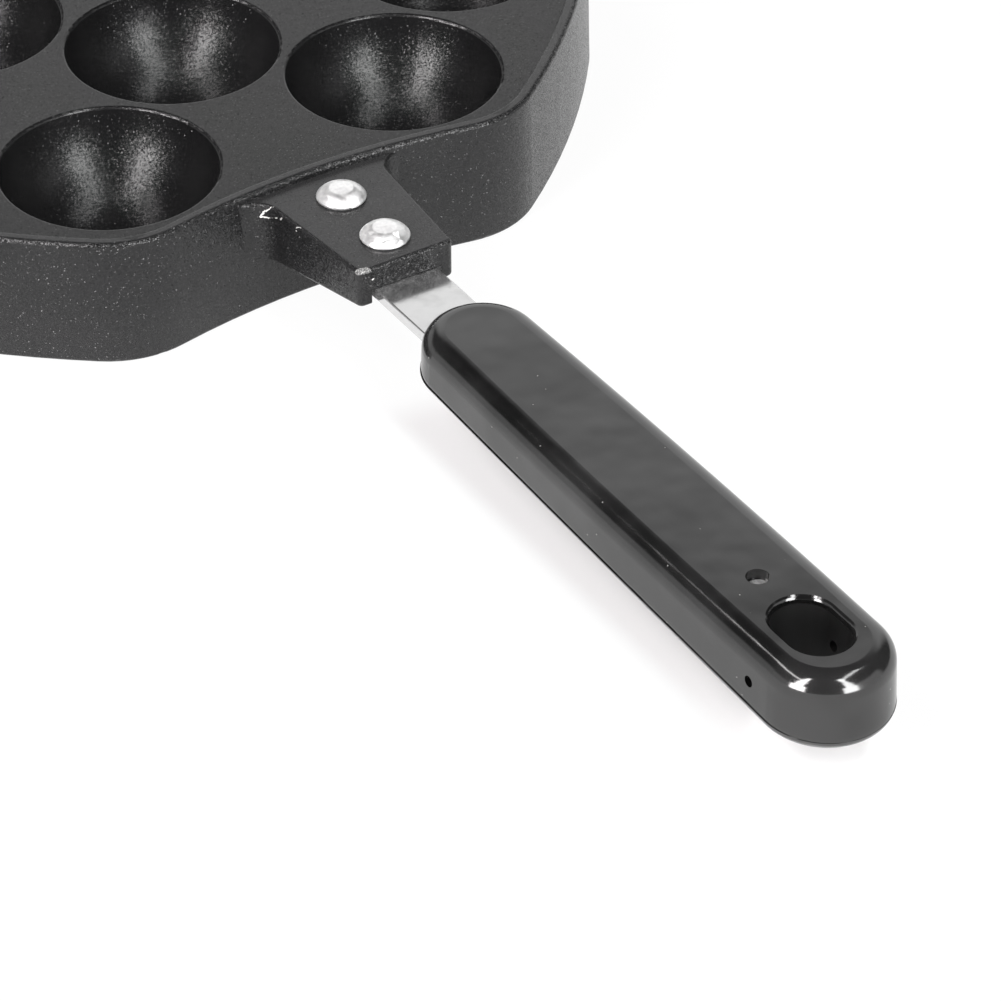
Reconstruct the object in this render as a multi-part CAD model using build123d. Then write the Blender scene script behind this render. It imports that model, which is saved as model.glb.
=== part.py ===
from build123d import *
import os
from math import sqrt

# A stovetop takoyaki pan: a die-cast aluminium body with twelve cups, and a moulded grip on a
# flat steel tang that two rivets hold in the casting's lug.
#
# Millimetres, +Z up. The origin is the centre of the twelve cups, on the surface that the skirt
# rests on. The handle runs along -Y, and the object is symmetric about X = 0.

# ---- Cups --------------------------------------------------------------------------------------
CUP_MOUTH = 40.0  # diameter where a cup meets the plate
CUP_DEPTH = 19.5  # plate to the bottom of the cup
CUP_PITCH = 42.45  # centre to centre, in a square grid
CUP_ROWS = 4  # rows each way, with the four corner cups left out
CUP_WALL = 3.0
CUP_FLOOR = 2.6  # metal left between the bottom of a cup and the flat under it
CUP_RIM_ROUND = 0.6
CUP_FLAT_Z = 1.5  # height above the stove of the flat under each cup

# ---- Casting -----------------------------------------------------------------------------------
PLATE_THICK = 3.0
LIP_RISE = 1.5  # the lip stands this much above the plate
LIP_WIDTH = 2.4
LIP_OUTER_ROUND = 0.9
LIP_INNER_ROUND = 0.6
SKIRT_WALL = 3.0
SKIRT_FOOT_ROUND = 0.8
DRAFT = 1.0  # degrees, so that the skirt is wider at its foot

ROW_MARGIN = 28.7  # centre of an outer row of cups to the long side beside it
ROW_SIDE_R = 190.0  # radius of the bowed long sides
CORNER_MARGIN = 22.7  # centre line of a corner pair of cups to the short side beside it
CORNER_SIDE_R = 152.0  # radius of the hollow short sides
LOBE_R = 18.7  # round where a long and a short side meet

# ---- Lug ---------------------------------------------------------------------------------------
LUG_LENGTH = 30.6  # from the skirt to the lug's front face
LUG_FRONT_WIDTH = 19.3
LUG_REAR_WIDTH = 25.6
LUG_ROOF = 4.7  # metal above the channel
LUG_FRONT_DEPTH = 7.5
LUG_REAR_DEPTH = 12.3
LUG_FLARE_R = 5.0
LUG_CORNER_ROUND = 1.2
LUG_EDGE_ROUND = 0.7
CHANNEL_CLEARANCE = 0.8  # each side of the tang
CHANNEL_END_GAP = 1.2  # skirt to the closed end of the channel
CHANNEL_LIP_ROUND = 0.5  # on the roof's edge, where the tang comes out

# ---- Tang and rivets ---------------------------------------------------------------------------
TANG_WIDTH = 12.8
TANG_THICK = 2.0
TANG_SHOWN = 14.4  # length in view between the lug and the grip
TANG_IN_GRIP = 78.0
TANG_END_GAP = 0.8  # closed end of the channel to the tang
TANG_CORNER_ROUND = 2.5
TANG_EDGE_ROUND = 0.3
TANG_KEY_HOLE = 6.0  # the grip's moulding fills this hole and locks the tang
TANG_KEY_INSET = 9.0  # from the tang's inner end to the key hole
RIVET_SHANK = 5.0
RIVET_INSET = 8.4  # skirt to the nearer rivet
RIVET_SPACING = 14.9
RIVET_HEAD = 9.0
RIVET_HEAD_RISE = 2.35
RIVET_HEAD_UNDERCUT = 0.3  # the head's rim curls clear of the lug
RIVET_RIM = 0.6
RIVET_PUNCH = 4.2  # nearly flat top that the riveting punch leaves
RIVET_PUNCH_RISE = 0.2
RIVET_TAIL = 8.0
RIVET_TAIL_RISE = 1.4

# ---- Grip --------------------------------------------------------------------------------------
GRIP_LENGTH = 123.6
GRIP_FRONT_R = 10.4  # radii of the round ends and the bowed sides, seen from above
GRIP_END_R = 11.2
GRIP_SIDE_R = 2600.0
GRIP_MIDDLE_SHARE = 0.55  # how far along the grip its middle thickness is given
GRIP_COVER = 3.9  # moulding above the tang
GRIP_FRONT_THICK = 10.7
GRIP_MIDDLE_THICK = 12.05
GRIP_END_THICK = 14.5
GRIP_DRAFT = 2.0  # degrees
GRIP_TOP_ROUND = 4.0
GRIP_BOTTOM_ROUND = 2.8
PARTING_FRONT = 1.9  # parting line above the underside, at the front and at the far end
PARTING_END = 2.4
PARTING_NOSE = 6.0  # last stretch at the front, where the line climbs towards the tang
PARTING_CLIMB = 2.0
PARTING_STEP = 0.2  # the lower mould half leaves the grip this much fuller,
PARTING_SHIFT = 0.15  # and sits this much further forward
HANG_SLOT_LENGTH = 16.7
HANG_SLOT_WIDTH = 12.2
HANG_SLOT_BEVEL = 0.5
HANG_SLOT_INSET = 15.3  # grip's far end to the slot's centre
HANG_SLOT_TAPER = 4.0  # degrees
HANG_SLOT_ROUND = 0.8  # between the bevel and the slot's wall
CROSS_HOLE = 2.0  # hole across the hang slot, for a wire ring
CROSS_HOLE_DROP = 7.0  # grip's top to the cross hole
CROSS_HOLE_SHIFT = 0.7  # from the slot's centre, towards the lug
LOCATING_HOLE = 4.0  # blind hole that the mould's locating pin leaves
LOCATING_HOLE_DEPTH = 2.0
LOCATING_HOLE_INSET = 30.3  # grip's far end to the locating hole

# ---- Places that follow from the sizes above -------------------------------------------------
PLATE_Z = CUP_FLAT_Z + CUP_FLOOR + CUP_DEPTH  # top of the plate
CUP_R = (CUP_DEPTH**2 + (CUP_MOUTH / 2) ** 2) / (2 * CUP_DEPTH)
CUP_CENTRE_Z = PLATE_Z - CUP_DEPTH + CUP_R
ROW_REACH = CUP_PITCH * (CUP_ROWS - 1) / 2 + ROW_MARGIN
CORNER_REACH = CUP_PITCH * (CUP_ROWS - 2) / sqrt(2) + CORNER_MARGIN
LIP_Z = PLATE_Z + LIP_RISE

WALL_Y = -CORNER_REACH
LUG_FRONT_Y = WALL_Y - LUG_LENGTH
CHANNEL_END_Y = WALL_Y - CHANNEL_END_GAP
CHANNEL_WIDTH = TANG_WIDTH + 2 * CHANNEL_CLEARANCE
TANG_TOP_Z = PLATE_Z - LUG_ROOF
TANG_START_Y = CHANNEL_END_Y - TANG_END_GAP
GRIP_FRONT_Y = LUG_FRONT_Y - TANG_SHOWN
TANG_END_Y = GRIP_FRONT_Y - TANG_IN_GRIP
RIVET_YS = [WALL_Y - RIVET_INSET, WALL_Y - RIVET_INSET - RIVET_SPACING]

GRIP_END_Y = GRIP_FRONT_Y - GRIP_LENGTH
GRIP_MIDDLE_Y = GRIP_FRONT_Y - GRIP_LENGTH * GRIP_MIDDLE_SHARE
GRIP_TOP_Z = TANG_TOP_Z + GRIP_COVER
SLOT_Y = GRIP_END_Y + HANG_SLOT_INSET


def pan_outline(grow):
    """The pan's outline: four bowed sides, four hollow sides and round lobes between them."""
    bowed = [
        Rot(Z=turn) * Pos(ROW_REACH - ROW_SIDE_R, 0) * Rot(Z=180) * Circle(ROW_SIDE_R + grow)
        for turn in (45, 135, 225, 315)
    ]
    outline = bowed[0] & bowed[1] & bowed[2] & bowed[3]
    for turn in (0, 90, 180, 270):
        hollow = Pos(CORNER_REACH + CORNER_SIDE_R, 0) * Circle(CORNER_SIDE_R - grow)
        outline -= Rot(Z=turn) * hollow
    return fillet(outline.vertices(), LOBE_R + grow)


def pan_block(top, grow):
    """A block from the stove up to a height, drafted; grow is its size at the lip's height."""
    block = extrude(pan_outline(grow), top)
    sides = block.faces().filter_by(lambda face: abs(face.normal_at().Z) < 0.5)
    return draft(sides, Plane.XY.offset(LIP_Z), DRAFT)


def cup_places():
    """The cups' grid stands on its corner, and its own four corner cups are left out."""
    middle = (CUP_ROWS - 1) / 2
    ends = (0, CUP_ROWS - 1)
    for column in range(CUP_ROWS):
        for row in range(CUP_ROWS):
            if column in ends and row in ends:
                continue
            yield Rot(Z=45) * Pos((column - middle) * CUP_PITCH, (row - middle) * CUP_PITCH)


def cup_shell():
    """The outside of one cup's wall, with the flat that stands closest to the stove."""
    ball = Pos(0, 0, CUP_CENTRE_Z) * Sphere(CUP_R + CUP_WALL)
    above_flat = Pos(0, 0, CUP_FLAT_Z) * Cylinder(
        CUP_MOUTH, PLATE_Z, align=(Align.CENTER, Align.CENTER, Align.MIN)
    )
    return ball & above_flat


def cup_cutter():
    """The space in one cup and just over its rim, with the rim's round."""
    bowl = Pos(0, CUP_CENTRE_Z) * Circle(CUP_R)
    bowl &= Rectangle(CUP_MOUTH, PLATE_Z, align=(Align.MIN, Align.MIN))
    mouth = Pos(0, PLATE_Z) * Rectangle(
        CUP_MOUTH / 2 + 2 * CUP_RIM_ROUND, CUP_RIM_ROUND, align=(Align.MIN, Align.MIN)
    )
    profile = bowl + mouth
    rim = profile.vertices().filter_by(
        lambda v: abs(v.X - CUP_MOUTH / 2) < 0.01 and abs(v.Y - PLATE_Z) < 0.01
    )
    profile = fillet(rim, CUP_RIM_ROUND)
    return revolve(Plane.XZ * profile, Axis.Z)


def make_dish():
    """Plate, lip, skirt and cups, before the lug is added."""
    dish = pan_block(LIP_Z, 0)
    dish = fillet(dish.faces().sort_by(Axis.Z)[-1].edges(), LIP_OUTER_ROUND)

    tray = extrude(Pos(0, 0, PLATE_Z) * pan_outline(-LIP_WIDTH), LIP_RISE)
    core = pan_block(PLATE_Z - PLATE_THICK, -SKIRT_WALL)
    for place in cup_places():
        core -= place * cup_shell()
    dish -= tray
    dish -= core
    cutter = cup_cutter()
    for place in cup_places():
        dish -= place * cutter
    return dish


def soften_dish(dish):
    """Rounds on the lip's inner edge and the skirt's foot."""
    lip_top = dish.faces().filter_by_position(Axis.Z, LIP_Z - 0.01, LIP_Z + 0.01)
    dish = fillet(lip_top.sort_by(SortBy.AREA)[-1].inner_wires()[0].edges(), LIP_INNER_ROUND)

    foot = dish.faces().filter_by_position(Axis.Z, -0.01, 0.01).sort_by(SortBy.AREA)[-1]
    return fillet(foot.outer_wire().edges(), SKIRT_FOOT_ROUND)


def make_lug():
    """The lug that carries the handle: a tapered roof on two legs, flared into the skirt."""
    rear_y = WALL_Y + LUG_FLARE_R
    corners = [
        (-LUG_REAR_WIDTH / 2, rear_y),
        (LUG_REAR_WIDTH / 2, rear_y),
        (LUG_FRONT_WIDTH / 2, LUG_FRONT_Y),
        (-LUG_FRONT_WIDTH / 2, LUG_FRONT_Y),
    ]
    plan = pan_outline(0) + make_face(Polyline(*corners, close=True))
    notches = plan.vertices().filter_by(
        lambda v: abs(v.X) < LUG_REAR_WIDTH / 2 + 0.5 and v.Y < WALL_Y + 2 and v.Y > WALL_Y - 4
    )
    plan = fillet(notches, LUG_FLARE_R)
    plan = fillet(plan.vertices().group_by(Axis.Y)[0], LUG_CORNER_ROUND)
    plan -= pan_outline(-SKIRT_WALL / 2)
    plan &= Pos(0, LUG_FRONT_Y) * Rectangle(
        LUG_REAR_WIDTH * 2, 2 * LUG_LENGTH + SKIRT_WALL * 2
    )

    block = extrude(Pos(0, 0, PLATE_Z) * plan, -LUG_REAR_DEPTH)
    slope = [
        (LUG_FRONT_Y - 1, PLATE_Z + 1),
        (LUG_FRONT_Y - 1, PLATE_Z - LUG_FRONT_DEPTH),
        (LUG_FRONT_Y, PLATE_Z - LUG_FRONT_DEPTH),
        (WALL_Y, PLATE_Z - LUG_REAR_DEPTH),
        (WALL_Y + LUG_FLARE_R, PLATE_Z - LUG_REAR_DEPTH),
        (WALL_Y + LUG_FLARE_R, PLATE_Z + 1),
    ]
    side = make_face(Plane.YZ * Polyline(*slope, close=True))
    lug = block & extrude(side, LUG_REAR_WIDTH, both=True)
    sloped = lug.faces().filter_by(lambda face: -1 < face.normal_at().Z < -0.9)
    lug = fillet(clear_edges(sloped.sort_by(SortBy.AREA)[-1]), LUG_EDGE_ROUND)
    lug = fillet(clear_edges(lug.faces().sort_by(Axis.Z)[-1]), LUG_EDGE_ROUND)

    channel_length = CHANNEL_END_Y - LUG_FRONT_Y
    lug -= Pos(0, CHANNEL_END_Y - channel_length, 0) * Box(
        CHANNEL_WIDTH, 2 * channel_length, TANG_TOP_Z, align=(Align.CENTER, Align.CENTER, Align.MIN)
    )
    channel_lip = lug.edges().sort_by_distance((0, LUG_FRONT_Y, TANG_TOP_Z))[0]
    lug = fillet(channel_lip, CHANNEL_LIP_ROUND)
    for y in RIVET_YS:
        lug -= Pos(0, y, TANG_TOP_Z) * Cylinder(
            RIVET_SHANK / 2, LUG_ROOF, align=(Align.CENTER, Align.CENTER, Align.MIN)
        )
    return lug


def clear_edges(face):
    """The edges of a lug face that stand clear of the skirt."""
    return face.edges().filter_by(lambda edge: edge.center().Y < CHANNEL_END_Y - TANG_END_GAP)


def make_tang():
    """The flat steel strip, with its rivet holes and the hole that keys it in the grip."""
    length = TANG_START_Y - TANG_END_Y
    strip = Pos(0, (TANG_START_Y + TANG_END_Y) / 2) * RectangleRounded(
        TANG_WIDTH, length, TANG_CORNER_ROUND
    )
    for y in RIVET_YS:
        strip -= Pos(0, y) * Circle(RIVET_SHANK / 2)
    strip -= Pos(0, TANG_END_Y + TANG_KEY_INSET) * Circle(TANG_KEY_HOLE / 2)
    tang = extrude(Pos(0, 0, TANG_TOP_Z) * strip, -TANG_THICK)
    for face in (tang.faces().sort_by(Axis.Z)[0], tang.faces().sort_by(Axis.Z)[-1]):
        tang = fillet(face.outer_wire().edges(), TANG_EDGE_ROUND)
    return tang


def make_casting():
    """The whole casting: the dish with the lug on its skirt."""
    return soften_dish(make_dish()) + make_lug()


def make_rivet(y):
    """A solid aluminium rivet: head on the lug, shank through both, tail under the tang."""
    tail_z = TANG_TOP_Z - TANG_THICK
    tail_rim_z = tail_z - RIVET_RIM + RIVET_HEAD_UNDERCUT
    rim_z = PLATE_Z + RIVET_RIM
    crown_z = PLATE_Z + RIVET_HEAD_RISE
    punch_z = crown_z - RIVET_PUNCH_RISE
    bulge = Vector((RIVET_HEAD + RIVET_PUNCH) / 4, (rim_z + punch_z) / 2) + Vector(0.2, 0.24)
    head = ThreePointArc((RIVET_HEAD / 2, rim_z), bulge, (RIVET_PUNCH / 2, punch_z))
    stem = Polyline(
        (RIVET_PUNCH / 2, punch_z),
        (0, crown_z),
        (0, tail_z - RIVET_TAIL_RISE),
        (RIVET_SHANK / 2, tail_z - RIVET_TAIL_RISE),
        (RIVET_TAIL / 2, tail_rim_z),
        (RIVET_TAIL / 2, tail_z),
        (RIVET_SHANK / 2, tail_z),
        (RIVET_SHANK / 2, PLATE_Z),
        (RIVET_HEAD / 2 - RIVET_HEAD_UNDERCUT, PLATE_Z),
        (RIVET_HEAD / 2, PLATE_Z + RIVET_HEAD_UNDERCUT),
        (RIVET_HEAD / 2, rim_z),
    )
    return Pos(0, y, 0) * revolve(Plane.XZ * make_face(head + stem), Axis.Z)


def underside(y):
    """The thickness of the grip at y, from a curve through its front, middle and end."""
    t = (GRIP_FRONT_Y - y) / GRIP_LENGTH
    m = GRIP_MIDDLE_SHARE
    front, middle, end = GRIP_FRONT_THICK, GRIP_MIDDLE_THICK, GRIP_END_THICK
    return (
        front * (t - m) * (t - 1) / m
        + middle * t * (t - 1) / (m * (m - 1))
        + end * t * (t - m) / (1 - m)
    )


def along_underside(y_front, front_lift, end_lift):
    """An arc beside the underside, lifted from it, from y_front to past the far end."""
    y_end = GRIP_END_Y - 1
    lifts = {
        y_front: front_lift,
        GRIP_MIDDLE_Y: (front_lift + end_lift) / 2,
        y_end: end_lift,
    }
    return ThreePointArc(*[(y, GRIP_TOP_Z - underside(y) + up) for y, up in lifts.items()])


def block_above(line):
    """A block as wide as the grip and more, from a line in the plane X = 0 up past its top."""
    top = GRIP_TOP_Z + 1
    ends = line.vertices().sort_by(Axis.X)
    far, near = ends[0], ends[-1]
    frame = Polyline((far.X, far.Y), (far.X, top), (near.X, top), (near.X, near.Y))
    return extrude(make_face(Plane.YZ * (line + frame)), 2 * GRIP_END_R, both=True)


def above_parting():
    """All of the grip that the upper mould half shapes."""
    y_nose = GRIP_FRONT_Y - PARTING_NOSE
    along = along_underside(y_nose, PARTING_FRONT, PARTING_END)
    nose_end = (along @ 0) + Vector(PARTING_NOSE + 1, PARTING_CLIMB)
    nose = TangentArc(along @ 0, nose_end, tangent=-(along % 0))
    return block_above(nose + along)


def grip_plan(grow):
    """The grip from above: two round ends, and bowed sides that are tangent to both."""
    front = Vector(0, GRIP_FRONT_Y - GRIP_FRONT_R)
    end = Vector(0, GRIP_END_Y + GRIP_END_R)
    apart = front.Y - end.Y
    to_front, to_end = GRIP_SIDE_R - GRIP_FRONT_R, GRIP_SIDE_R - GRIP_END_R
    along = (apart**2 + to_front**2 - to_end**2) / (2 * apart)
    centre = Vector(-sqrt(to_front**2 - along**2), front.Y - along)

    side_r = GRIP_SIDE_R + grow
    joins = [centre + (round_end - centre).normalized() * side_r for round_end in (front, end)]
    left_joins = [Vector(-join.X, join.Y) for join in joins]
    widest = centre + Vector(side_r, 0)
    return make_face(
        ThreePointArc(left_joins[0], Vector(0, GRIP_FRONT_Y + grow), joins[0])
        + ThreePointArc(joins[0], widest, joins[1])
        + ThreePointArc(joins[1], Vector(0, GRIP_END_Y - grow), left_joins[1])
        + ThreePointArc(left_joins[1], Vector(-widest.X, widest.Y), left_joins[0])
    )


def grip_block(step):
    """The grip's sides with their draft, from its top down past its underside."""
    top = Pos(0, 0, GRIP_TOP_Z) * grip_plan(step)
    return extrude(top, -(GRIP_END_THICK + 1), taper=-GRIP_DRAFT)


def grip_form(step):
    """The grip's whole outer form with its rounded edges, fuller all round by step."""
    form = grip_block(step) & block_above(along_underside(GRIP_FRONT_Y + 1, 0, 0))
    form = fillet(form.faces().sort_by(Axis.Z)[-1].edges(), GRIP_TOP_ROUND)
    lowest = form.faces().sort_by(lambda face: face.normal_at().Z)[0]
    return fillet(lowest.edges(), GRIP_BOTTOM_ROUND)


def hang_slot_cutter():
    """The tapered hanging slot, a little smaller than its bevelled mouth."""
    slot = SlotOverall(HANG_SLOT_LENGTH - 2 * HANG_SLOT_BEVEL, HANG_SLOT_WIDTH - 2 * HANG_SLOT_BEVEL)
    place = Pos(0, SLOT_Y, GRIP_TOP_Z) * Rot(Z=90)
    return extrude(place * slot, -(GRIP_END_THICK + 2), taper=HANG_SLOT_TAPER)


def slot_rim(grip, depth):
    """The slot's closed edge at a depth below the grip's top."""
    z = GRIP_TOP_Z - depth
    level = grip.edges().filter_by_position(Axis.Z, z - 0.01, z + 0.01)
    return level.filter_by(lambda e: (e.center() - Vector(0, SLOT_Y, z)).length < HANG_SLOT_LENGTH / 2)


def make_grip(tang):
    """The moulded grip: two mould halves that meet at the parting line, round the tang."""
    upper_space = above_parting()
    lower = Pos(0, PARTING_SHIFT) * grip_form(PARTING_STEP) - upper_space
    grip = (grip_form(0) & upper_space) + lower

    grip -= hang_slot_cutter()
    grip = chamfer(slot_rim(grip, 0), HANG_SLOT_BEVEL)
    grip = fillet(slot_rim(grip, HANG_SLOT_BEVEL), HANG_SLOT_ROUND)

    cross_y = SLOT_Y + CROSS_HOLE_SHIFT
    grip -= Pos(0, cross_y, GRIP_TOP_Z - CROSS_HOLE_DROP) * Rot(Y=90) * Cylinder(
        CROSS_HOLE / 2, 4 * GRIP_END_R
    )
    grip -= Pos(0, GRIP_END_Y + LOCATING_HOLE_INSET, GRIP_TOP_Z) * Cylinder(
        LOCATING_HOLE / 2, 2 * LOCATING_HOLE_DEPTH
    )
    return grip - tang


tang = make_tang()
parts = {
    "pan_casting": make_casting(),
    "handle_tang": tang,
    "rivet_inner": make_rivet(RIVET_YS[0]),
    "rivet_outer": make_rivet(RIVET_YS[1]),
    "handle_grip": make_grip(tang),
}

os.makedirs("parts", exist_ok=True)
for name, shape in parts.items():
    export_step(shape, f"parts/{name}.step")
    print(name, "solids", len(shape.solids()), "volume", round(shape.volume, 1))
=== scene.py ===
# %% [markdown]
# # A cast ball pan with a riveted stick handle
# The pan is one aluminium casting with a dark sprayed coating. A steel strip is riveted into its lug, and a
# glossy moulded grip closes round the strip. The shapes are already modelled and packed as a frame, so this
# lesson is about the looks: a coating that sparkles, bare metal that shows how it was made, and a hard
# black gloss. All finishes are worked out from places on the object, so nothing has to be unwrapped.

# %% Load the packed frame
import math
import bpy
from mathutils import Matrix, Vector


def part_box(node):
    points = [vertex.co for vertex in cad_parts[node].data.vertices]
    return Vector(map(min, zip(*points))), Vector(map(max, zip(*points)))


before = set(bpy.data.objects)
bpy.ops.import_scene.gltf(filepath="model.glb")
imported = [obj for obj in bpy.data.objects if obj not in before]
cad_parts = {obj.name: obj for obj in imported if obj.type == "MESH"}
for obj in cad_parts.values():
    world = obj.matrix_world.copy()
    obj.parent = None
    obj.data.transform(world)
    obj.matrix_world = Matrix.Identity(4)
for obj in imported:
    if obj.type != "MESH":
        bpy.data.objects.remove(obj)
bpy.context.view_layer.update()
print("nodes:", sorted(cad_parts))

# %% [markdown]
# ## The camera
# Seen through a long lens from about a metre away, the pan keeps its proportions. A camera could be aimed by
# a tracking constraint. Here its turn is built from three angles, because they can be read and changed one
# by one: azimuth round the vertical, elevation above the table and a small roll.

# %% Place the camera
AZIMUTH, ELEVATION, ROLL = (math.radians(a) for a in (-32.369, 36.862, -0.186))
CAMERA_PLACE = Vector((-0.379083, -0.741858, 0.520239))
LENS, SENSOR_WIDTH, CLIP_START = 181.58, 36, 0.01


def direction(azimuth, elevation=0.0):
    """The unit vector that points that way, in radians. The front is 0, and the right a quarter turn."""
    flat = math.cos(elevation)
    return Vector((math.sin(azimuth) * flat, -math.cos(azimuth) * flat, math.sin(elevation)))


back = direction(AZIMUTH, ELEVATION)
right = (-back).cross(Vector((0, 0, 1))).normalized()
up = right.cross(-back)
right, up = (math.cos(ROLL) * right + math.sin(ROLL) * up,
             math.cos(ROLL) * up - math.sin(ROLL) * right)
lens = bpy.data.cameras.new("camera")
lens.lens, lens.sensor_width, lens.clip_start = LENS, SENSOR_WIDTH, CLIP_START
camera = bpy.data.objects.new("camera", lens)
turn = Matrix((right, up, back)).transposed().to_4x4()
camera.matrix_world = Matrix.Translation(CAMERA_PLACE) @ turn
bpy.context.scene.collection.objects.link(camera)
bpy.context.scene.camera = camera
bpy.context.scene.view_settings.view_transform = "Standard"
print("camera looks along", [round(c, 3) for c in -back])

# %% [markdown]
# ## Writing shader maths as Python
# A finish is a tree of nodes. Typed out node by node it hides the idea, so an output socket gets a small
# class of its own, whose sums add Math nodes. Then a mask reads like a formula, such as 1 - mask.


# %% Wires
class Wire:
    """An output socket. Arithmetic on it adds Math nodes to the same tree."""

    def __init__(self, tree, socket):
        self.tree, self.socket = tree, socket

    def also(self, name):
        """Another output of the same node."""
        return Wire(self.tree, self.socket.node.outputs[name])

    def math(self, operation, *values):
        return self.tree.add("ShaderNodeMath", {"operation": operation}, dict(enumerate(values)))

    def __add__(self, other):
        return self.math("ADD", self, other)

    def __sub__(self, other):
        return self.math("SUBTRACT", self, other)

    def __rsub__(self, other):
        return self.math("SUBTRACT", other, self)

    def __mul__(self, other):
        return self.math("MULTIPLY", self, other)

    def __gt__(self, other):
        return self.math("GREATER_THAN", self, other)

    def __abs__(self):
        return self.math("ABSOLUTE", self)

    def most(self, other):
        return self.math("MAXIMUM", self, other)

    def least(self, other):
        return self.math("MINIMUM", self, other)

    def ease(self, low, high, start=0.0, end=1.0):
        """A smooth step: start below low, end above high."""
        return self.tree.add("ShaderNodeMapRange", {"interpolation_type": "SMOOTHSTEP"},
                             {"Value": self, "From Min": low, "From Max": high,
                              "To Min": start, "To Max": end})

    __radd__, __rmul__ = __add__, __mul__


def any_of(masks):
    """1 wherever one of the masks is 1."""
    whole, *rest = masks
    for mask in rest:
        whole = whole.most(mask)
    return whole


print("a wire can", ", ".join(name for name in vars(Wire) if not name.startswith("_")))

# %% [markdown]
# ## Trees
# Every other node comes from one method, add. It takes the kind of node, its settings, and a value or a
# wire for each socket. The few nodes that the finishes use again and again get short names on top of it.
# Noise stays mostly near a half, so patches gives it contrast with a smooth step between two values.


# %% Trees
class Tree:
    """A node tree, with one method that adds a node of any kind."""

    def __init__(self, tree):
        self.nodes, self.links = tree.nodes, tree.links

    def add(self, kind, settings=None, inputs=None, out=0):
        node = self.nodes.new(kind)
        for name, value in (settings or {}).items():
            setattr(node, name, value)
        for name, value in (inputs or {}).items():
            self.feed(node.inputs[name], value)
        return Wire(self, node.outputs[out])

    def feed(self, socket, value):
        if isinstance(value, Wire):
            self.links.new(value.socket, socket)
        elif socket.type == "RGBA":
            socket.default_value = (*value, 1)
        else:
            socket.default_value = value

    def point(self):
        """Places on the object, in metres, in the frame that the model was drawn in."""
        return self.add("ShaderNodeTexCoord", out="Object")

    def noise(self, point, scale, detail=2.0):
        return self.add("ShaderNodeTexNoise", None, {"Vector": point, "Scale": scale, "Detail": detail})

    def patches(self, point, scale, detail, low, high, start=0.0, end=1.0):
        """Noise with contrast: start where it is below low, and end where it is above high."""
        return self.noise(point, scale, detail).ease(low, high, start, end)

    def cells(self, point, size, out="Color"):
        """Random cells of about that size. Colour gives each cell its own random vector."""
        return self.add("ShaderNodeTexVoronoi", None, {"Vector": point, "Scale": 1 / size}, out)

    def chance(self, vector):
        """A random number from 0 to 1 for each different vector."""
        return self.add("ShaderNodeTexWhiteNoise", None, {"Vector": vector}, "Value")

    def vector(self, operation, *values, out=0):
        return self.add("ShaderNodeVectorMath", {"operation": operation}, dict(enumerate(values)), out)

    def scaled(self, vector, amount):
        return self.add("ShaderNodeVectorMath", {"operation": "SCALE"}, {0: vector, "Scale": amount})

    def axis(self, vector, name):
        return self.add("ShaderNodeSeparateXYZ", None, {0: vector}, name)

    def mix(self, factor, low, high):
        """A colour between two colours."""
        return self.add("ShaderNodeMix", {"data_type": "RGBA"}, {0: factor, 6: low, 7: high}, 2)

    def shader_mix(self, factor, low, high):
        """A surface between two surfaces."""
        return self.add("ShaderNodeMixShader", None, {0: factor, 1: low, 2: high})

    def near(self, point, centre, radius, soft):
        """1 within radius of a place, and 0 beyond radius + soft."""
        return self.vector("DISTANCE", point, centre, out="Value").ease(radius, radius + soft, 1.0, 0.0)

    def stroke(self, point, start, end, width, soft):
        """1 within half a width of the straight line between two places."""
        span = Vector(end) - Vector(start)
        gone = self.vector("SUBTRACT", point, start)
        share = self.vector("DOT_PRODUCT", gone, span / span.length_squared, out="Value")
        share = share.least(1.0).most(0.0)
        aside = self.vector("LENGTH", self.vector("SUBTRACT", gone, self.scaled(span, share)), out="Value")
        return aside.ease(width / 2, width / 2 + soft, 1.0, 0.0)


print("a tree can", ", ".join(name for name in vars(Tree) if not name.startswith("_")))

# %% [markdown]
# ## Finishes
# A finish is a material: one Principled shader and the tree that feeds it. Its facet method leans the
# normal by a random vector for each cell, which is how grains and hammered flats get an edge that a smooth
# bump can't give.


# %% Finishes
class Finish(Tree):
    """A material: a Principled shader, and whatever feeds it."""

    def __init__(self, name, **fixed):
        self.material = bpy.data.materials.new(name)
        self.material.use_nodes = True
        super().__init__(self.material.node_tree)
        self.shader = self.nodes["Principled BSDF"]
        self.set(**fixed)

    def set(self, **values):
        for name, value in values.items():
            self.feed(self.shader.inputs[name.replace("_", " ")], value)

    def principled(self):
        return Wire(self, self.shader.outputs[0])

    def show(self, surface):
        """Use this surface in place of the plain Principled shader."""
        self.feed(self.nodes["Material Output"].inputs["Surface"], surface)

    def bump(self, height, distance):
        return self.add("ShaderNodeBump", None, {"Distance": distance, "Height": height})

    def facet(self, normal, cells, amount):
        """Lean the normal by each cell's own random vector."""
        lean = self.vector("SUBTRACT", cells, (0.5, 0.5, 0.5))
        return self.vector("NORMALIZE", self.vector("ADD", normal, self.scaled(lean, amount)))

    def cover(self, *objects):
        for piece in objects:
            piece.data.materials.clear()
            piece.data.materials.append(self.material)
        print(self.material.name, "covers", ", ".join(piece.name for piece in objects))


print("a finish can", ", ".join(name for name in vars(Finish) if not name.startswith("_")))

# %% [markdown]
# ## The floor
# The floor is white paper. Lit like the pan it would come out grey, and more light would bleach the metal,
# so the camera and the reflections see most of it as plain white. The rest of it is shaded, and so the pan
# keeps a soft shadow. Right under the handle the paper is shaded in full, which keeps the hanging slot dark
# inside. From below the floor is clear, so that the underside can be looked at, and it lies a hair under
# the pan's foot.

# %% Floor
TABLE_REACH, FLOOR_Z = 12.0, -0.00005
WHITE, PAPER = (1, 1, 1), (0.93, 0.93, 0.93)
PLAIN_SHARE = 0.93
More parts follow.
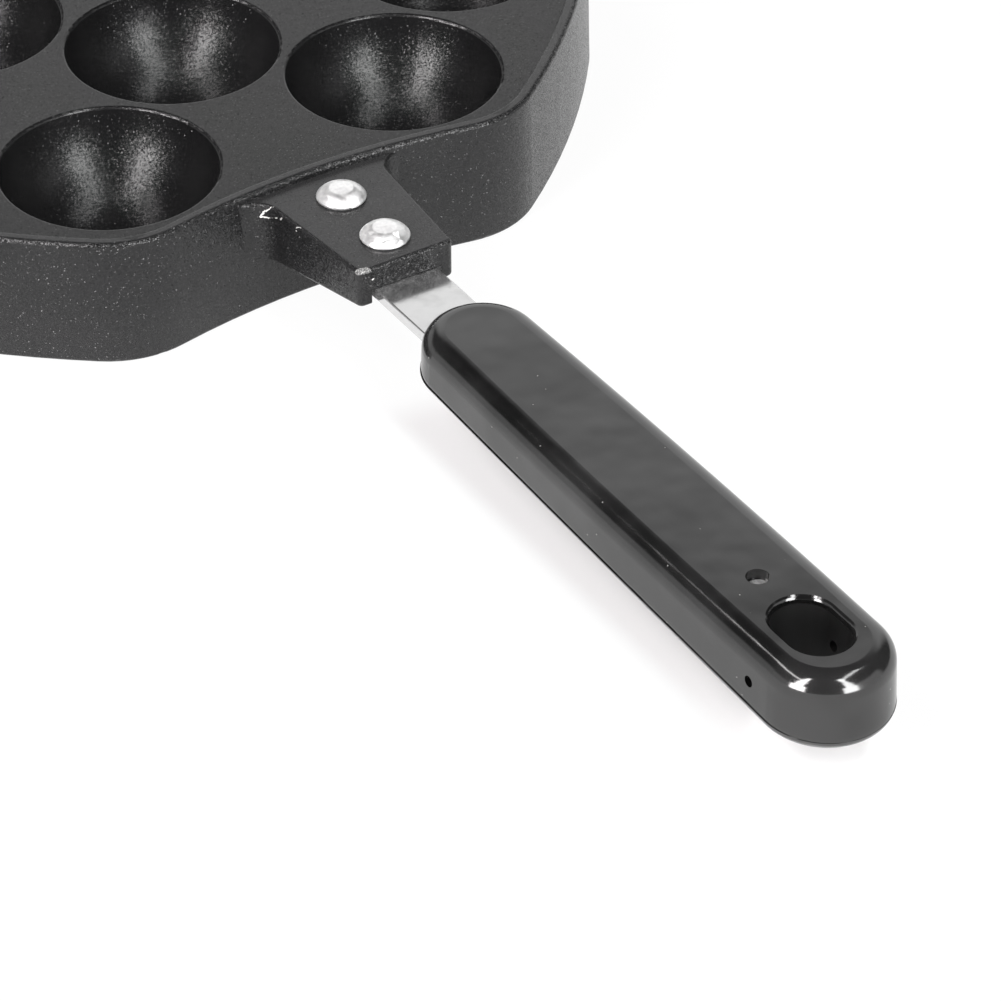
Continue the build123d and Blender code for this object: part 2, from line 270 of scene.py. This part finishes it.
# the strip of paper under the handle: half its width, and where along Y each soft end starts and is over
STRIP_HALF, STRIP_SOFT = 0.008, 0.005
STRIP_FAR_END, STRIP_NEAR_END = (-0.252, -0.247), (-0.13, -0.12)

mesh = bpy.data.meshes.new("floor")
corners = [(x * TABLE_REACH, y * TABLE_REACH, FLOOR_Z) for x, y in ((-1, -1), (1, -1), (1, 1), (-1, 1))]
mesh.from_pydata(corners, [], [(0, 1, 2, 3)])
floor = bpy.data.objects.new("floor", mesh)
bpy.context.scene.collection.objects.link(floor)

paper = Finish("white_paper", Roughness=0.9, Base_Color=PAPER, Specular_IOR_Level=0.1)
place = paper.point()
aside, along = abs(paper.axis(place, "X")), paper.axis(place, "Y")
under_handle = (aside.ease(STRIP_HALF, STRIP_HALF + STRIP_SOFT, 1.0, 0.0)
                * along.ease(*STRIP_FAR_END) * along.ease(*STRIP_NEAR_END, 1.0, 0.0))
path = paper.add("ShaderNodeLightPath", out="Is Camera Ray")
plain_path = path.most(path.also("Is Glossy Ray")).most(path.also("Is Transmission Ray"))
plain = paper.add("ShaderNodeEmission", None, {"Color": WHITE, "Strength": 1.0})
top_side = paper.shader_mix(plain_path * (1 - under_handle) * PLAIN_SHARE, paper.principled(), plain)
from_below = paper.add("ShaderNodeNewGeometry", out="Backfacing")
paper.show(paper.shader_mix(from_below, top_side, paper.add("ShaderNodeBsdfTransparent")))
paper.cover(floor)

# %% [markdown]
# ## The room
# A black object shows its shape only by what it mirrors, so the room is dark above, with pale panels that
# stand round the table. They could be lamps, but a lamp has a hard edge. In the world each panel is a
# product of two masks with soft edges: how far it turns aside from the panel's middle, and how high it looks.

# %% Pale panels and the dark room round them
ROOM_DARK, HORIZON_LIGHT = 0.07, 0.95
# the sines of the elevations where the horizon's light starts to fade and where it is gone
HORIZON_TOP = (0.04, 0.10)
# each panel: azimuth of its middle, half its width, soft edge, top elevation, soft edge above, brightness
PANELS = [
    (143, 17, 20, 33, 14, 1.15),
    (-140, 38, 15, 18, 8, 0.72),
    (42, 18, 8, 28, 8, 1.0),
]

world = bpy.data.worlds.new("room")
bpy.context.scene.world = world
world.use_nodes = True
room = Tree(world.node_tree)
towards = room.add("ShaderNodeTexCoord", out="Generated")
height = room.axis(towards, "Z")
around = room.vector("NORMALIZE", room.vector("MULTIPLY", towards, (1, 1, 0)))
level = height.ease(*HORIZON_TOP, HORIZON_LIGHT, ROOM_DARK)
for middle, half, soft, top, fade, light in PANELS:
    facing = room.vector("DOT_PRODUCT", around, direction(math.radians(middle)), out="Value")
    across = facing.ease(math.cos(math.radians(half + soft)), math.cos(math.radians(half)))
    below = height.ease(math.sin(math.radians(top)), math.sin(math.radians(top + fade)), 1.0, 0.0)
    level = level.most(across * below * light)
room.feed(room.nodes["Background"].inputs["Color"],
          room.add("ShaderNodeCombineColor", None, {0: level, 1: level, 2: level}))
print(len(PANELS), "pale panels")

# %% [markdown]
# ## The soft boxes
# Two tall soft boxes stand left and right of the camera and leave it dark between them. They draw the two
# streaks in every cup. One tall lamp would give a streak of even width, so each box is three lamps that
# narrow upwards, and the streaks taper towards the floor of the cup. Two long strips hang above the grip's
# far end and run along its rounds as thin bright lines.


# %% Soft boxes
def soft_box(name, centre, facing, width, tall, radiance, colour):
    """A panel as bright as radiance says, whose light goes out against facing."""
    lamp = bpy.data.lights.new(name, "AREA")
    lamp.shape, lamp.size, lamp.size_y = "RECTANGLE", width, tall
    lamp.energy, lamp.color = radiance * math.pi * width * tall, colour
    panel = bpy.data.objects.new(name, lamp)
    turn = facing.to_track_quat("Z", "Y").to_matrix().to_4x4()
    panel.matrix_world = Matrix.Translation(centre) @ turn
    bpy.context.scene.collection.objects.link(panel)


ROSE = (1, 0.97, 0.975)
BOX_DISTANCE, BOX_WIDTH, BOX_RADIANCE = 1.15, 0.42, 9.8
# each box: azimuth, colour and how many times the radiance
BOXES = {"right": (4, WHITE, 1.5), "left": (-67, ROSE, 2.05)}
# each level: share of the width, and from which height to which
LEVELS = {"foot": (1.0, 0.07, 0.5), "waist": (0.6, 0.5, 1.0), "head": (0.45, 1.0, 2.4)}
for side, (azimuth, colour, gain) in BOXES.items():
    away = direction(math.radians(azimuth))
    for part, (share, bottom, top) in LEVELS.items():
        centre = away * BOX_DISTANCE + Vector((0, 0, (bottom + top) / 2))
        soft_box(f"box_{side}_{part}", centre, away, BOX_WIDTH * share, top - bottom,
                 BOX_RADIANCE * gain, colour)

GRIP_END = Vector((0, -0.24, 0))
# each strip: azimuth, distance out, height, length, width, slide along the length, colour
STRIPS = {"left": (-115, 0.9, 1.19, 1.62, 0.10, 0.09, ROSE), "right": (50, 0.5, 1.35, 1.0, 0.12, 0.0, WHITE)}
for side, (azimuth, out, rise, long, wide, slide, colour) in STRIPS.items():
    away = direction(math.radians(azimuth)) * out + Vector((0, 0, rise))
    centre = GRIP_END + away + direction(math.radians(azimuth + 90)) * slide
    soft_box(f"strip_{side}", centre, away, long, wide, BOX_RADIANCE, colour)
print("lamps:", ", ".join(sorted(lamp.name for lamp in bpy.data.lights)))

# %% [markdown]
# ## Where the spray lands
# The casting is sprayed with a dark coating from above. It meets the plate squarely, the cups at a slant,
# and the lip, the walls and the lug from the side, and it dries differently on each. Painting these regions
# by hand would be tied to one mesh, so they are worked out from the pan's outline: four bowed sides between
# four hollow ones, each an arc of a circle.

# %% Regions of the casting
# how far the middle of a side lies from the pan's centre, and the radius of its arc
BOW_REACH, BOW_RADIUS = 0.0924, 0.190
HOLLOW_REACH, HOLLOW_RADIUS = 0.0827, 0.152
LIP_WIDTH, LIP_RISE, EDGE_SOFT = 0.0024, 0.0015, 0.0003
PLATE_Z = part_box("pan_casting")[1][2] - LIP_RISE
# depths below the plate at which the cups' finish starts and is whole
CUP_START, CUP_WHOLE = 0.0004, 0.0012
# the normal's Z: over the first pair a surface turns into a level top, and over the second it leaves a wall
TOP_SLOPES, WALL_SLOPES = (0.93, 0.99), (0.15, 0.45)

coating = Finish("sprayed_coating", IOR=1.45)
place = coating.point()
height = coating.axis(place, "Z")
level_point = coating.vector("MULTIPLY", place, (1, 1, 0))
beyond = []
for side in range(4):
    bow = direction(math.radians(90 * side + 45)) * (BOW_REACH - BOW_RADIUS)
    beyond.append(1 - coating.near(level_point, bow, BOW_RADIUS - LIP_WIDTH, EDGE_SOFT))
    hollow = direction(math.radians(90 * side)) * (HOLLOW_REACH + HOLLOW_RADIUS)
    beyond.append(coating.near(level_point, hollow, HOLLOW_RADIUS + LIP_WIDTH, EDGE_SOFT))
outer = any_of(beyond)
facing_up = coating.axis(coating.add("ShaderNodeNewGeometry", out="Normal"), "Z")
level_top = facing_up.ease(*TOP_SLOPES)
coarse = outer * (1 - level_top)
in_cup = (1 - outer) * height.ease(PLATE_Z - CUP_WHOLE, PLATE_Z - CUP_START, 1.0, 0.0)
print("the plate lies at", round(PLATE_Z * 1000, 2), "mm")

# %% [markdown]
# ## Grains of the coating
# Seen flat on the coating is a plain satin charcoal, and only where a lamp is nearly mirrored do single
# grains flash. A bump from a fine noise would only blur the reflections. So each grain is a small cell of
# the surface with a leaning normal of its own. Most grains of a region lean alike, and the last share of
# them leans more and more.

# %% Grains
GRAIN = 0.00016
PEEL_SCALE, PEEL_HEIGHT = 420, 0.00002
# how far most grains lean, from which share of them on they lean further, and how far the last one leans
FLAT_LEAN, FLAT_SHARE, FLAT_MOST = 0.07, 0.93, 1.0
CUP_LEAN, CUP_SHARE, CUP_MOST = 0.17, 0.68, 0.62
COARSE_LEAN, COARSE_SHARE, WALL_MOST, LIP_MOST = 0.38, 0.66, 1.15, 2.4

cells = coating.cells(place, GRAIN)
luck = coating.chance(cells)
coarse_most = facing_up.ease(*WALL_SLOPES, WALL_MOST, LIP_MOST)
leaning = any_of([luck.ease(FLAT_SHARE, 1.0, FLAT_LEAN, FLAT_MOST),
                  luck.ease(CUP_SHARE, 1.0, CUP_LEAN, CUP_MOST) * in_cup,
                  luck.ease(COARSE_SHARE, 1.0, COARSE_LEAN, coarse_most) * coarse])
peel = coating.bump(coating.noise(place, PEEL_SCALE), PEEL_HEIGHT)
grained = coating.facet(peel, cells, leaning)
print("grains of", GRAIN * 1000, "mm")

# %% [markdown]
# ## Tones of the coating
# The spray is nearly black, and slightly cloudy, as spray is. The lip's and the lug's level tops are paler.
# The coarse sides show pale specks between the grains, partly the spray's own mottled tone and partly a
# painted sheen of the grains. The walls are painted paler towards the foot, a painted light for the bright
# floor they mirror.

# %% Tones of the coating
INNER_TONES = (0.0042, 0.0042, 0.0044), (0.0064, 0.0064, 0.0066)
OUTER_TONES = (0.0035, 0.0035, 0.0038), (0.0065, 0.0065, 0.0068)
TOP_TONES = (0.021, 0.021, 0.0214), (0.025, 0.025, 0.0254)
# scale, detail and contrast of the patches
# the specks are partly the spray's mottled tone and partly a painted sheen of the coarse grains
CLOUD, SPECK_AND_SHEEN_PATCHES = (38, 3, 0.3, 0.7), (3200, 2, 0.35, 0.65)
# painted light: the walls are made paler towards the foot, up to this height, for the bright floor they
# mirror
SPECK_AND_SHEEN_PALE, PAINTED_FOOT_LIGHT_PALE, PAINTED_FOOT_LIGHT_REACH = 0.007, 0.004, 0.016

cloud = coating.patches(place, *CLOUD)
speck = coating.patches(place, *SPECK_AND_SHEEN_PATCHES) * coarse
# painted light: 1 at the foot of the outer walls, fading upwards
foot = height.ease(0.0, PAINTED_FOOT_LIGHT_REACH, 1.0, 0.0) * outer
inner_tone, outer_tone, top_tone = (coating.mix(cloud, *tones)
                                    for tones in (INNER_TONES, OUTER_TONES, TOP_TONES))
spray = coating.mix(outer, inner_tone, coating.mix(level_top, outer_tone, top_tone))
# pale specks (partly painted sheen) and the paler foot (painted light) lighten the coarse sides
spray = coating.mix((speck * SPECK_AND_SHEEN_PALE + foot * PAINTED_FOOT_LIGHT_PALE) * (1 - level_top), spray, WHITE)
print("three tones: inside the lip, outside it, and on level tops outside it")

# %% [markdown]
# ## Chips in the coating
# Handling has broken the coating along the lug's left edge and rubbed it thin at the front corner. A chip
# shows bare aluminium only as a bright line where the coating ends. A noise with a threshold would put
# chips anywhere, so short strokes between places on the lug give those lines, and random cells push the
# strokes about a little, so that they break up.

# %% Chips
# each line: its two ends on the lug, and its width
CHIP_LINES = [
    ((-0.01330, -0.08512, 0.0209), (-0.01290, -0.08560, 0.0219), 0.00024),
    ((-0.01290, -0.08560, 0.0219), (-0.01270, -0.08585, 0.0225), 0.00024),
    ((-0.01262, -0.08605, 0.0223), (-0.01215, -0.08670, 0.0231), 0.00020),
    ((-0.01215, -0.08670, 0.0231), (-0.01165, -0.08715, 0.02352), 0.00016),
    ((-0.01330, -0.08512, 0.0209), (-0.01240, -0.08640, 0.0211), 0.00020),
    ((-0.01240, -0.08640, 0.0211), (-0.01188, -0.08850, 0.0220), 0.00016),
    ((-0.01180, -0.08950, 0.0222), (-0.01165, -0.09000, 0.0227), 0.00018),
    ((-0.01130, -0.09440, 0.0231), (-0.01085, -0.09540, 0.02345), 0.00016),
]
# each spot: its place and radius
CHIP_SPOTS = [
    ((-0.00695, -0.1133, 0.0213), 0.00022),
    ((-0.0079, -0.1131, 0.0197), 0.00012),
    ((-0.0113, -0.0944, 0.0224), 0.00010),
]
RUBBED_FROM, RUBBED_TO = (-0.0094, -0.1125, 0.0233), (-0.0079, -0.1130, 0.0234)
RUBBED_WIDTH, RUBBED_SOFT, RUBBED_TONE = 0.0009, 0.0003, (0.30, 0.30, 0.295)
# the rubbing takes some grains more than others: from which chance to which, and the least and the most
RUBBED_LUCK = (0.3, 0.7, 0.2, 1.0)
SHOVE_CELL, SHOVE, CHIP_SOFT = 0.00035, 0.00015, 0.00006
BARE_TONE, BARE_METAL, BARE_ROUGHER = (0.75, 0.74, 0.72), 0.5, 0.2
SATIN, FLASHING = 0.27, 0.20

shove = coating.vector("SUBTRACT", coating.cells(place, SHOVE_CELL), (0.5, 0.5, 0.5))
ragged = coating.vector("ADD", place, coating.scaled(shove, SHOVE))
bare = any_of([coating.stroke(ragged, *line, CHIP_SOFT) for line in CHIP_LINES]
              + [coating.near(ragged, *spot, CHIP_SOFT) for spot in CHIP_SPOTS])
rubbed = coating.stroke(ragged, RUBBED_FROM, RUBBED_TO, RUBBED_WIDTH, RUBBED_SOFT)
rubbed = rubbed * luck.ease(*RUBBED_LUCK)
coating.set(Base_Color=coating.mix(bare, coating.mix(rubbed, spray, RUBBED_TONE), BARE_TONE),
            Metallic=bare * BARE_METAL,
            Roughness=luck.ease(FLAT_SHARE, 1.0, SATIN, FLASHING) + bare * BARE_ROUGHER,
            Normal=grained)
coating.cover(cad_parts["pan_casting"])
print(len(CHIP_LINES), "chip lines and", len(CHIP_SPOTS), "spots")

# %% [markdown]
# ## The steel strip
# Cold-rolled strip is nearly a mirror, with a fine grain along its length from the rolls and stray scratches
# from handling. An anisotropic shader could stand for the grain, but it would be the same all over. So noise
# that is stretched along Y gives the grain with a bump, and thin slices of two turned noises give the
# scratches.

# %% Steel strip
STEEL, SMUDGED_STEEL = (0.71, 0.71, 0.71), (0.66, 0.66, 0.66)
ROLL_STRETCH, ROLL_SCALE, ROLL_HEIGHT = 0.04, 3500, 0.0000008
# each direction of scratches: its turn in radians, and how much the noise shrinks along them
SCRATCHES = [(0.5, 0.05), (-0.9, 0.08)]
SCRATCH_SCALE, SCRATCH_SLICE, SCRATCH_HALF, SCRATCH_SHARE = 700, 0.68, 0.005, 0.5
SMUDGE = (260, 3, 0.4, 0.7)
STEEL_ROUGH, SMUDGE_ROUGHER, SCRATCH_ROUGHER = 0.15, 0.03, 0.08
STEEL_METAL, SMUDGE_METAL = 0.95, 0.90

steel = Finish("rolled_strip")
place = steel.point()
rolled = steel.noise(steel.vector("MULTIPLY", place, (1, ROLL_STRETCH, 1)), ROLL_SCALE, 3)
lines = []
for angle, stretch in SCRATCHES:
    turned = steel.add("ShaderNodeVectorRotate", {"rotation_type": "Z_AXIS"},
                       {"Vector": place, "Angle": angle})
    streaks = steel.noise(steel.vector("MULTIPLY", turned, (1, stretch, 1)), SCRATCH_SCALE, 1)
    lines.append(abs(streaks - SCRATCH_SLICE).ease(0.0, SCRATCH_HALF, 1.0, 0.0))
scratches = any_of(lines)
smudge = steel.patches(place, *SMUDGE)
steel.set(Base_Color=steel.mix(smudge, STEEL, SMUDGED_STEEL),
          Metallic=STEEL_METAL - smudge * (STEEL_METAL - SMUDGE_METAL),
          Roughness=smudge * SMUDGE_ROUGHER + scratches * SCRATCH_ROUGHER + STEEL_ROUGH,
          Normal=steel.bump(rolled + scratches * SCRATCH_SHARE, ROLL_HEIGHT))
steel.cover(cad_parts["handle_tang"])

# %% [markdown]
# ## The rivets
# The heads are soft aluminium. The punch leaves a nearly flat, burnished top, and the flanks round it are
# duller, with flats where the tool has slid down. The flats could be cut into the shape, but only their
# gleam shows, so cells of the surface stand for them, each with a lean of its own.

# %% Rivets
RIVETS = ("rivet_inner", "rivet_outer")
DULL_ALLOY, BRIGHT_ALLOY = (0.80, 0.80, 0.80), (0.92, 0.92, 0.915)
PUNCH_RADIUS, PUNCH_SOFT = 0.0021, 0.0002
FLAT_SIZE, FLANK_LEAN, TOP_LEAN = 0.0026, 0.42, 0.08
WEAR_SCALE, WEAR_HEIGHT = 1400, 0.00002
# the wear's contrast in the tone, and its contrast and range in the roughness
WEAR_TONE, WEAR_ROUGH, TOP_SMOOTHER = (0.35, 0.7), (0.3, 0.7, 0.36, 0.48), 0.04
FLANK_METAL, TOP_METAL = 0.88, 0.55

alloy = Finish("rivet_alloy")
place = alloy.point()
flats = alloy.cells(place, FLAT_SIZE)
wear = alloy.noise(place, WEAR_SCALE, 3)
tops = []
for name in RIVETS:
    low, high = (Vector(c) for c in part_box(name))
    middle = (low + high) / 2
    tops.append(alloy.near(place, (middle.x, middle.y, high.z), PUNCH_RADIUS, PUNCH_SOFT))
burnished = any_of(tops)
lean = FLANK_LEAN - burnished * (FLANK_LEAN - TOP_LEAN)
alloy.set(Base_Color=alloy.mix(wear.ease(*WEAR_TONE), DULL_ALLOY, BRIGHT_ALLOY),
          Metallic=FLANK_METAL - burnished * (FLANK_METAL - TOP_METAL),
          Roughness=wear.ease(*WEAR_ROUGH) - burnished * TOP_SMOOTHER,
          Normal=alloy.facet(alloy.bump(wear, WEAR_HEIGHT), flats, lean))
alloy.cover(*(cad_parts[name] for name in RIVETS))

# %% [markdown]
# ## The hole and the slot in the grip
# The mould's locating pin leaves a shallow hole in the grip, with a scuffed wall and a dull floor. The floor
# is also painted pale, a painted reflection of the room.
# The core that leaves the hanging slot isn't polished, so the slot's wall is duller than the rest. Both
# could be pieces of their own, but on the real grip they are one skin, so they are masks on it, placed from
# the grip's box.

# %% Hole and slot
PIN_HOLE_INSET, PIN_HOLE_REACH, PIN_HOLE_SOFT = 0.0303, 0.0021, 0.00005
# depths below the grip's top: over which the hole's wall starts, its floor starts, and where both end
HOLE_WALL, HOLE_FLOOR, HOLE_REGION = (0.0003, 0.0001), (0.0017, 0.0013), 0.005
SLOT_INSET, SLOT_HALF_STRAIGHT, SLOT_WIDTH, SLOT_BEVEL = 0.0153, 0.00225, 0.0122, 0.0011
SLOT_SOFT, BEVEL_SOFT = 0.0002, 0.0006

low, high = (Vector(c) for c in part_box("handle_grip"))
gloss = Finish("moulded_gloss", IOR=1.56, Specular_IOR_Level=0.7)
place = gloss.point()
height = gloss.axis(place, "Z")
level_point = gloss.vector("MULTIPLY", place, (1, 1, 0))

hole = gloss.near(level_point, (0, low.y + PIN_HOLE_INSET, 0), PIN_HOLE_REACH, PIN_HOLE_SOFT)
hole = hole * (height > high.z - HOLE_REGION)
hole = hole * height.ease(*(high.z - depth for depth in HOLE_WALL), 1.0, 0.0)
hole_floor = hole * height.ease(*(high.z - depth for depth in HOLE_FLOOR), 1.0, 0.0)

slot_y = low.y + SLOT_INSET
slot_ends = [(0, slot_y + end, 0) for end in (-SLOT_HALF_STRAIGHT, SLOT_HALF_STRAIGHT)]
in_slot = gloss.stroke(level_point, *slot_ends, SLOT_WIDTH, SLOT_SOFT)
slot_wall = in_slot * height.ease(high.z - SLOT_BEVEL - BEVEL_SOFT, high.z - SLOT_BEVEL, 1.0, 0.0)
print("hole at Y", round(low.y + PIN_HOLE_INSET, 4), "and slot at Y", round(slot_y, 4))

# %% [markdown]
# ## The grip
# Phenolic comes out of a polished mould as hard black gloss. The mould is never quite flat, so long
# reflections wander a little, its black is slightly cloudy, and dust settles on it. A plain glossy shader
# would look like glass, so a slow ripple, a swirl and specks go on top. The slot's dull wall is a second
# shader under a mask.

# %% Grip
BLACKS = (0.003, 0.003, 0.003), (0.013, 0.013, 0.013)
# the pale tone serves the wall's scuffs and the floor's painted reflection
SCUFF_AND_SHEEN_TONE, SCUFF_SHARE, HOLE_FLOOR_SHEEN_SHARE = (0.42, 0.42, 0.42), 0.3, 0.5
SCUFF_STRETCH, SCUFF = 0.35, (2600, 2, 0.42, 0.62)
DUST_TONE, DUST_SPACING, DUST_SIZE, DUST_SHARE = (0.22, 0.22, 0.21), 0.0016, (0.05, 0.09), 0.1
SWIRL, POLISH = (55, 3, 0.35, 0.65), (90, 3, 0.3, 0.7, 0.10, 0.17)
RIPPLE_SCALE, RIPPLE_HEIGHT = 130, 0.00008
FLOOR_ROUGHER, DUST_ROUGHER = 0.3, 0.4
DULL_BLACK, DULL_ROUGH, DULL_GLOSS = (0.004, 0.004, 0.004), 0.6, 0.2

swirl = gloss.patches(place, *SWIRL)
scuffed = gloss.patches(gloss.vector("MULTIPLY", place, (1, SCUFF_STRETCH, 0)), *SCUFF)
speck = gloss.cells(place, DUST_SPACING, "Distance").ease(*DUST_SIZE, 1.0, 0.0)
dust = speck * (gloss.chance(gloss.cells(place, DUST_SPACING)) > 1 - DUST_SHARE)

# painted reflection: the hole's floor is mixed towards the pale tone; the scuffs on its wall are wear
black = gloss.mix(hole * scuffed * SCUFF_SHARE + hole_floor * HOLE_FLOOR_SHEEN_SHARE,
                  gloss.mix(swirl, *BLACKS), SCUFF_AND_SHEEN_TONE)
gloss.set(Base_Color=gloss.mix(dust, black, DUST_TONE),
          Roughness=gloss.patches(place, *POLISH) + hole_floor * FLOOR_ROUGHER + dust * DUST_ROUGHER,
          Normal=gloss.bump(gloss.noise(place, RIPPLE_SCALE, 1), RIPPLE_HEIGHT))
dull = gloss.add("ShaderNodeBsdfPrincipled", None,
                 {"Base Color": DULL_BLACK, "Roughness": DULL_ROUGH, "Specular IOR Level": DULL_GLOSS})
gloss.show(gloss.shader_mix(slot_wall, gloss.principled(), dull))
gloss.cover(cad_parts["handle_grip"])

# %% [markdown]
# ## Sizes
# The finishes change no shape, so the visual model fills the same box as the drawing.
